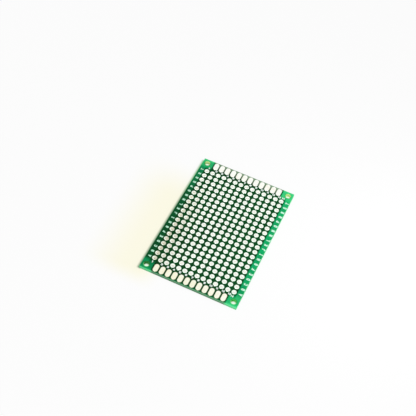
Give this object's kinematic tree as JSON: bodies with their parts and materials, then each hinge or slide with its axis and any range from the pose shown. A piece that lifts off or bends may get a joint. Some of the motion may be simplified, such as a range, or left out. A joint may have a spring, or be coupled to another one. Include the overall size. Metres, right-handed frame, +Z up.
{
  "type": "prototype board",
  "caption": "Flat rectangular double-sided prototype board: a drilled laminate with a grid of plated lead holes, oblong end pads, green solder mask and corner screw holes.",
  "frame": {"origin": "middle of the plane that the board rests on, under the pads of its lower face", "axes": "+Z up through the board, +Y from row A to row T, +X from column 1 to column 14"},
  "size_m": [0.04, 0.06, 0.0016],
  "materials": {
    "laminate": "satin",
    "solder_mask": "gloss",
    "tinned_copper": "satin",
    "marking_ink": "matte"
  },
  "bodies": {
    "root": {"laminate": "laminate", "top_solder_mask": "solder_mask", "bottom_solder_mask": "solder_mask", "near_top_pads": "tinned_copper", "far_top_pads": "tinned_copper", "near_bottom_pads": "tinned_copper", "far_bottom_pads": "tinned_copper", "hole_row_a": "tinned_copper", "hole_row_b": "tinned_copper", "hole_row_c": "tinned_copper", "hole_row_d": "tinned_copper", "hole_row_e": "tinned_copper", "hole_row_f": "tinned_copper", "hole_row_g": "tinned_copper", "hole_row_h": "tinned_copper", "hole_row_i": "tinned_copper", "hole_row_j": "tinned_copper", "hole_row_k": "tinned_copper", "hole_row_l": "tinned_copper", "hole_row_m": "tinned_copper", "hole_row_n": "tinned_copper", "hole_row_o": "tinned_copper", "hole_row_p": "tinned_copper", "hole_row_q": "tinned_copper", "hole_row_r": "tinned_copper", "hole_row_s": "tinned_copper", "hole_row_t": "tinned_copper"}
  },
  "joints": []
}
